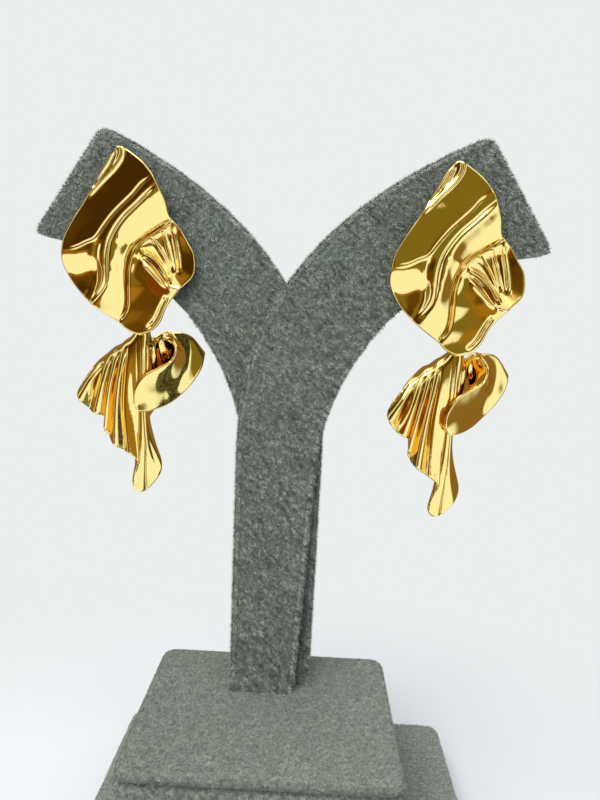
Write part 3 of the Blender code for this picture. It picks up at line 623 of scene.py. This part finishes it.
def edge_steps(length, count, edge):
    """Even steps with finer ones at both ends, where the sheet's rim is rounded."""
    fine = edge * (1 - np.cos(np.linspace(0, math.pi / 2, EDGE_RINGS)))
    even = np.linspace(edge, length - edge, count)[1:-1]
    return np.concatenate([fine, even, length - fine[::-1]])


def drop_shape():
    """Points and faces of the drop about its hanging point."""
    grid = drop_grid()
    normal = np.cross(np.gradient(grid, axis=0), np.gradient(grid, axis=1))
    normal /= np.linalg.norm(normal, axis=2, keepdims=True) + 1e-12
    half = SHEET / 2
    along = np.linalg.norm(np.diff(grid, axis=0), axis=2)
    down = np.linalg.norm(np.diff(grid, axis=1), axis=2)
    from_left = np.concatenate([np.zeros((1, grid.shape[1])), np.cumsum(along, axis=0)])
    from_top = np.concatenate([np.zeros((grid.shape[0], 1)), np.cumsum(down, axis=1)], axis=1)
    inward = np.minimum(np.minimum(from_left, from_left[-1:] - from_left),
                        np.minimum(from_top, from_top[:, -1:] - from_top))
    thick = rounded_edge(inward, half)[..., None]
    front = (grid + normal * thick).reshape(-1, 3)
    back = (grid - normal * thick).reshape(-1, 3)
    return close_sheet(front, back, grid.shape[:2], False)


# Wire loops and the nut


def link_places():
    tip = next(row for row in PLATE_RIM if row[0] == "tip")
    across, up = tip[1] * PLATE_HALF_WIDTH / 100, tip[2] * PLATE_HALF_HEIGHT / 100
    front = tip[3] * PLATE_RELIEF / 100
    hang = np.array([across + HANG_SHIFT, -front + SHEET + DROP_CLEAR + SHEET / 2,
                     up - HANG_FALL])
    eye = hang + np.array([0.0, LIP_DEPTH, LIP_RISE + EYE_RADIUS])
    ring_low = eye[2] + EYE_RADIUS - WIRE - GAP
    ring = np.array([eye[0], eye[1], ring_low + RING_RADIUS])
    staple_low = ring_low + 2 * RING_RADIUS - WIRE - GAP
    return {"hang": hang, "eye": eye, "ring": ring, "staple_low": staple_low}


def circle(middle, radius, steps, axis):
    turn = np.linspace(0, 2 * math.pi, steps, endpoint=False)
    flat, side = radius * np.cos(turn), radius * np.sin(turn)
    still = np.zeros(steps)
    parts = (still, flat, side) if axis == "X" else (flat, still, side)
    return np.stack(parts, axis=1) + middle


def tube(path, radius, sides, closed):
    """Points and faces of a round wire along a path in one plane."""
    path = np.asarray(path, dtype=float)
    count = len(path)
    normal = np.cross(path[1] - path[0], path[count // 2] - path[0])
    normal /= np.linalg.norm(normal)
    if closed:
        along = np.roll(path, -1, axis=0) - np.roll(path, 1, axis=0)
    else:
        along = np.gradient(path, axis=0)
    side = np.cross(along / np.linalg.norm(along, axis=1)[:, None], normal)
    turn = np.linspace(0, 2 * math.pi, sides, endpoint=False)
    points = (path[:, None, :] + radius * (np.cos(turn)[None, :, None] * side[:, None, :]
                                           + np.sin(turn)[None, :, None] * normal))
    faces = []
    for i in range(count if closed else count - 1):
        j = (i + 1) % count
        for k in range(sides):
            m = (k + 1) % sides
            faces.append((i * sides + k, j * sides + k, j * sides + m, i * sides + m))
    if not closed:
        faces.append(tuple(range(sides)))
        faces.append(tuple((count - 1) * sides + k for k in reversed(range(sides))))
    return points.reshape(-1, 3), faces


def staple_path():
    links = link_places()
    x, ring_y = links["ring"][0], links["ring"][1]
    low, radius = links["staple_low"], STAPLE_RISE / 2
    back = ring_y + WIRE + GAP - radius + WIRE / 2
    turn = np.linspace(math.pi / 2, -math.pi / 2, BEND_STEPS)
    bend = [(x, back + radius * math.cos(a), low + radius + radius * math.sin(a)) for a in turn]
    return [(x, plate_inside(x, low + STAPLE_RISE), low + STAPLE_RISE), *bend,
            (x, plate_inside(x, low), low)]


def nut_profile():
    """Half section of the ear nut: radius and distance from the arm."""
    return ((0.75, 0.0), (2.45, 0.0), (2.6, 0.15), (2.6, 0.75), (2.45, 0.9), (1.75, 1.15),
            (1.35, 1.7), (1.3, 2.3), (1.5, 2.8), (1.5, 3.15), (1.3, 3.4), (0.75, 3.4))


def lathe(profile, steps):
    turn = np.linspace(0, 2 * math.pi, steps, endpoint=False)
    profile = np.array(profile)
    points = np.stack([np.outer(np.cos(turn), profile[:, 0]),
                       np.broadcast_to(profile[:, 1], (steps, len(profile))),
                       np.outer(np.sin(turn), profile[:, 0])], axis=-1).reshape(-1, 3)
    faces = []
    for i in range(steps):
        j = (i + 1) % steps
        for k in range(len(profile)):
            m = (k + 1) % len(profile)
            faces.append((i * len(profile) + k, i * len(profile) + m, j * len(profile) + m,
                          j * len(profile) + k))
    return points, faces


def join_shapes(*shapes):
    points, faces, count = [], [], 0
    for part_points, part_faces in shapes:
        points.append(np.asarray(part_points))
        faces.extend([v + count for v in face] for face in part_faces)
        count += len(part_points)
    return np.vstack(points), faces


def build_earring(side, gold, plate, drop):
    place, roll = PLATES[side]
    links = link_places()
    post_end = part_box("plate_" + side)[1].y / MM - place[1]
    post_start = plate_inside(*EAR_POST)
    post = lathe(((CORE, post_start), (POST_WIDTH / 2, post_start),
                  (POST_WIDTH / 2, post_end - POST_CHAMFER), (POST_CHAMFER, post_end),
                  (CORE, post_end)), POST_STEPS)
    post = (post[0] + np.array([EAR_POST[0], 0.0, EAR_POST[1]]), post[1])
    staple = tube(staple_path(), WIRE / 2, WIRE_SIDES, False)

    def gold_piece(name, shape, body, node):
        """One piece of gold in its place, moving with a body and shown instead of a node."""
        points, faces = shape
        piece = mesh_piece(name + side, place_points(points, place, roll), faces, gold)
        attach(piece, body)
        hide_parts(node + side)
        return piece

    gold_piece("gold_plate_", join_shapes(plate, post, staple), "root", "plate_")
    eye = tube(circle(links["eye"], EYE_RADIUS, EYE_STEPS, "X"), WIRE / 2, WIRE_SIDES, True)
    drop = join_shapes((drop[0] + links["hang"], drop[1]), eye)
    gold_piece("gold_drop_", drop, "drop_" + side, "drop_")
    ring = tube(circle(links["ring"], RING_RADIUS, TURNED_STEPS, "Y"), WIRE / 2, WIRE_SIDES, True)
    gold_piece("gold_ring_", ring, "ring_" + side, "jump_ring_")
    points, faces = lathe(nut_profile(), TURNED_STEPS)
    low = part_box("ear_nut_" + side)[0].y / MM - place[1]
    nut = (points + np.array([EAR_POST[0], low, EAR_POST[1]]), faces)
    nut = gold_piece("gold_nut_", nut, "root", "ear_nut_")
    nut.data.set_sharp_from_angle(angle=math.radians(NUT_SHARP))


# Velvet


def surface_samples(node, count, rng):
    """Places and face normals spread evenly over a node, in millimetres."""
    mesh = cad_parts[node].data
    mesh.calc_loop_triangles()
    corners = np.empty(len(mesh.vertices) * 3)
    mesh.vertices.foreach_get("co", corners)
    corners = corners.reshape(-1, 3) / MM
    triangles = np.empty(len(mesh.loop_triangles) * 3, dtype=int)
    mesh.loop_triangles.foreach_get("vertices", triangles)
    a, b, c = (corners[triangles.reshape(-1, 3)[:, k]] for k in range(3))
    normal = np.cross(b - a, c - a)
    area = np.linalg.norm(normal, axis=1)
    normal /= area[:, None] + 1e-12
    showing = area * (normal[:, 2] > UNDERSIDE)
    face = rng.choice(len(area), size=count, p=showing / showing.sum())
    u, v = rng.random((2, count))
    flip = u + v > 1
    u[flip], v[flip] = 1 - u[flip], 1 - v[flip]
    place = a[face] + u[:, None] * (b - a)[face] + v[:, None] * (c - a)[face]
    return place, normal[face]


def tuft_shade(place, lean, rng):
    """Soft random brightness from -1 to 1 in tufts that are longer the way the pile is combed."""
    along = np.array([lean[0], 0.0, lean[1]]) / math.hypot(*lean)
    side = np.array([-along[2], 0.0, along[0]])
    cells = np.stack([place @ along / TUFT_LENGTH, place @ side / TUFT_WIDTH,
                      place[:, 1] / TUFT_WIDTH], axis=1)
    table = rng.uniform(-1.0, 1.0, TUFT_TABLE)
    low = np.floor(cells).astype(int)
    share = cells - low
    total = np.zeros(len(place))
    for corner in np.ndindex(2, 2, 2):
        weight = np.prod(np.where(corner, share, 1 - share), axis=1)
        spot = (low + corner) % table.shape
        total += weight * table[tuple(spot.T)]
    return total


def flat_face_inset(place, normal):
    """Distance of places on the flat faces from the edge of their face; negative off it."""
    flat = np.abs(normal[:, 1]) > FLAT_FACE
    span = np.round(place[flat][:, [0, 2]] / EDGE_CELL).astype(int)
    low = span.min(axis=0) - 2
    covered = np.zeros(span.max(axis=0) - low + 3, bool)
    covered[tuple((span - low).T)] = True
    inset = np.zeros(covered.shape)
    while covered.any() and inset.max() < EDGE_CELLS:
        inset += covered
        inner = covered.copy()
        for axis in (0, 1):
            for step in (-1, 1):
                inner &= np.roll(covered, step, axis=axis)
        covered = inner
    result = np.full(len(place), -1.0)
    result[flat] = inset[tuple((span - low).T)] * EDGE_CELL
    return result


def add_pile(node, count, length, lean, shade, contrast, seam, material, rng):
    """Short fibres, one slender triangle each, combed one way with some disorder."""
    place, normal = surface_samples(node, count, rng)
    across, up = lean
    comb = np.array([across, -abs(up) * COMB_FORWARD, up])
    comb = comb + rng.normal(0.0, DISORDER, (count, 3))
    comb -= (comb * normal).sum(axis=1)[:, None] * normal
    comb /= np.linalg.norm(comb, axis=1)[:, None] + 1e-9
    rise = rng.uniform(*FIBRE_RISE, count)[:, None]
    reach = length * rng.uniform(*FIBRE_REACH, count)[:, None]
    bright = rng.normal(shade, FIBRE_SHADE, count)
    bright = bright * (1 + 2 * contrast * tuft_shade(place, lean, rng))
    if seam:
        inset = flat_face_inset(place, normal)
        stitched = np.abs(inset - SEAM_INSET) < SEAM_HALF_WIDTH
        bright[stitched] *= SEAM_SHADE
        reach[stitched] *= SEAM_REACH
        # painted sheen: fibres on the arms' narrow faces are painted lighter
        bright[inset < 0] *= EDGE_PAINTED_SHEEN
    tip = place + reach * (rise * normal + np.sqrt(1 - rise ** 2) * comb)
    spread = np.cross(normal, comb) + rng.normal(0.0, TURN_DISORDER, (count, 3))
    spread /= np.linalg.norm(spread, axis=1)[:, None]
    width = rng.uniform(*FIBRE_HALF_WIDTH, count)[:, None]
    points = np.stack([place - spread * width, place + spread * width, tip], axis=1)
    points[..., 2] = np.maximum(points[..., 2], TABLE_CLEAR)
    mesh = bpy.data.meshes.new("pile_" + node)
    mesh.vertices.add(count * 3)
    mesh.vertices.foreach_set("co", (points * MM).astype(np.float32).ravel())
    mesh.loops.add(count * 3)
    mesh.loops.foreach_set("vertex_index", np.arange(count * 3, dtype=np.int32))
    mesh.polygons.add(count)
    mesh.polygons.foreach_set("loop_start", np.arange(0, count * 3, 3, dtype=np.int32))
    mesh.update()
    tone_and_painted_light = mesh.attributes.new("tip", "FLOAT", "POINT")
    bright = np.clip(bright, LEAST_BRIGHT, 1.0)
    # painted shade: each fibre's root is darker than its tip, standing in for the shade down in
    # the pile
    values = np.stack([bright * ROOT_PAINTED_SHADE, bright * ROOT_PAINTED_SHADE, bright], axis=1)
    tone_and_painted_light.data.foreach_set("value", values.astype(np.float32).ravel())
    mesh.materials.append(material)
    piece = bpy.data.objects.new("pile_" + node, mesh)
    bpy.context.scene.collection.objects.link(piece)
    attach(piece, "root")


def dress_stand():
    ground = velvet_base_material()
    pile = pile_material()
    rng = np.random.default_rng(SEED)
    for node, count, length, lean, shade, contrast, seam in PILE:
        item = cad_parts[node]
        for index in range(len(item.material_slots)):
            item.material_slots[index].material = ground
        add_pile(node, count, length, lean, shade, contrast, seam, pile, rng)


# Studio


def add_floor():
    """A wide pale disc that fades into the pale background towards its rim."""
    turn = np.linspace(0, 2 * math.pi, FLOOR_STEPS, endpoint=False)
    points = [(r * math.cos(a), r * math.sin(a), 0.0) for r in FLOOR_RADII for a in turn]
    faces = [tuple(range(FLOOR_STEPS))]
    for low in range(0, FLOOR_STEPS * (len(FLOOR_RADII) - 1), FLOOR_STEPS):
        for k in range(FLOOR_STEPS):
            m = (k + 1) % FLOOR_STEPS
            faces.append((low + k, low + m, low + FLOOR_STEPS + m, low + FLOOR_STEPS + k))
    material, nodes, links = new_material("pale_floor")
    shader = nodes["Principled BSDF"]
    shader.inputs["Roughness"].default_value = 0.7
    place = nodes.new("ShaderNodeTexCoord")
    grain = nodes.new("ShaderNodeTexNoise")
    grain.inputs["Scale"].default_value = 12.0
    links.new(place.outputs["Object"], grain.inputs["Vector"])
    tint = nodes.new("ShaderNodeValToRGB")
    tint.color_ramp.elements[0].color = (0.46, 0.46, 0.45, 1.0)
    tint.color_ramp.elements[1].color = (0.49, 0.49, 0.48, 1.0)
    links.new(grain.outputs["Fac"], tint.inputs["Fac"])
    links.new(tint.outputs["Color"], shader.inputs["Base Color"])
    length = nodes.new("ShaderNodeVectorMath")
    length.operation = "LENGTH"
    links.new(place.outputs["Object"], length.inputs[0])
    fade = nodes.new("ShaderNodeMapRange")
    fade.interpolation_type = "SMOOTHSTEP"
    fade.inputs["From Min"].default_value = FLOOR_FADE[0]
    fade.inputs["From Max"].default_value = FLOOR_FADE[1]
    fade.inputs["To Min"].default_value = 1.0
    fade.inputs["To Max"].default_value = 0.0
    links.new(length.outputs["Value"], fade.inputs["Value"])
    links.new(fade.outputs["Result"], shader.inputs["Alpha"])
    floor = mesh_piece("floor", np.array(points) / MM, faces, material)
    floor.visible_glossy = False         # the gold mirrors the pale zone below instead


def add_world():
    world = bpy.data.worlds.new("studio")
    bpy.context.scene.world = world
    world.use_nodes = True
    nodes, links = world.node_tree.nodes, world.node_tree.links
    nodes.clear()
    place = nodes.new("ShaderNodeTexCoord")
    tall = nodes.new("ShaderNodeVectorMath")
    tall.operation = "MULTIPLY"
    tall.inputs[1].default_value = (1.0, 1.0, ROOM_SQUEEZE)
    links.new(place.outputs["Generated"], tall.inputs[0])
    flat = nodes.new("ShaderNodeVectorMath")
    flat.operation = "NORMALIZE"
    links.new(tall.outputs["Vector"], flat.inputs[0])

    def closeness(direction, wide, narrow):
        """1 near a direction and 0 away from it; angles in degrees."""
        dot = nodes.new("ShaderNodeVectorMath")
        dot.operation = "DOT_PRODUCT"
        links.new(flat.outputs["Vector"], dot.inputs[0])
        dot.inputs[1].default_value = Vector(direction).normalized()
        soft = nodes.new("ShaderNodeMapRange")
        soft.interpolation_type = "SMOOTHSTEP"
        soft.inputs["From Min"].default_value = math.cos(math.radians(wide))
        soft.inputs["From Max"].default_value = math.cos(math.radians(narrow))
        links.new(dot.outputs["Value"], soft.inputs["Value"])
        return soft.outputs["Result"]

    room = None
    for direction, wide, narrow, colour in ROOM_ZONES:
        mix = nodes.new("ShaderNodeMix")
        mix.data_type = "RGBA"
        links.new(closeness(direction, wide, narrow), mix.inputs["Factor"])
        if room is None:
            mix.inputs[6].default_value = (*ROOM_COLOUR, 1.0)
        else:
            links.new(room, mix.inputs[6])
        mix.inputs[7].default_value = (*colour, 1.0)
        room = mix.outputs[2]
    light = nodes.new("ShaderNodeBackground")
    links.new(room, light.inputs["Color"])
    light.inputs["Strength"].default_value = 1.0
    seen = nodes.new("ShaderNodeBackground")
    seen.inputs["Color"].default_value = (*BACKGROUND, 1.0)
    seen.inputs["Strength"].default_value = 1.0
    ray = nodes.new("ShaderNodeLightPath")
    choice = nodes.new("ShaderNodeMixShader")
    links.new(ray.outputs["Is Camera Ray"], choice.inputs["Fac"])
    links.new(light.outputs["Background"], choice.inputs[1])
    links.new(seen.outputs["Background"], choice.inputs[2])
    output = nodes.new("ShaderNodeOutputWorld")
    links.new(choice.outputs["Shader"], output.inputs["Surface"])


def add_light(name, place, size, power, mirrored):
    data = bpy.data.lights.new(name, "AREA")
    data.shape = "RECTANGLE"
    data.size, data.size_y = size
    data.energy = power
    light = bpy.data.objects.new(name, data)
    light.location = place
    light.visible_glossy = mirrored
    light.rotation_euler = (Vector(LIGHT_AIM) - Vector(place)).to_track_quat("-Z", "Y").to_euler()
    bpy.context.scene.collection.objects.link(light)


def add_camera():
    yaw, pitch, roll = (math.radians(a) for a in CAMERA_TURN)
    ahead = Vector((math.sin(yaw), math.cos(yaw), 0.0))
    right = Vector((math.cos(yaw), -math.sin(yaw), 0.0))
    up = Vector((0.0, 0.0, 1.0))
    ahead, up = (ahead * math.cos(pitch) + up * math.sin(pitch),
                 up * math.cos(pitch) - ahead * math.sin(pitch))
    right, up = (right * math.cos(roll) + up * math.sin(roll),
                 up * math.cos(roll) - right * math.sin(roll))
    data = bpy.data.cameras.new("camera")
    data.lens = CAMERA_LENS
    data.sensor_width = SENSOR_WIDTH
    data.clip_start = NEAREST_SEEN
    camera = bpy.data.objects.new("camera", data)
    turn = Matrix((right, up, -ahead)).transposed().to_4x4()
    camera.matrix_world = Matrix.Translation(Vector(CAMERA_PLACE) * MM) @ turn
    bpy.context.scene.collection.objects.link(camera)
    bpy.context.scene.camera = camera


def main():
    gold = gold_material()
    plate, drop = plate_shape(), drop_shape()
    for side in PLATES:
        build_earring(side, gold, plate, drop)
    dress_stand()
    add_floor()
    add_world()
    for light in LIGHTS:
        add_light(*light)
    add_camera()
    bpy.context.scene.view_settings.view_transform = "Standard"


main()
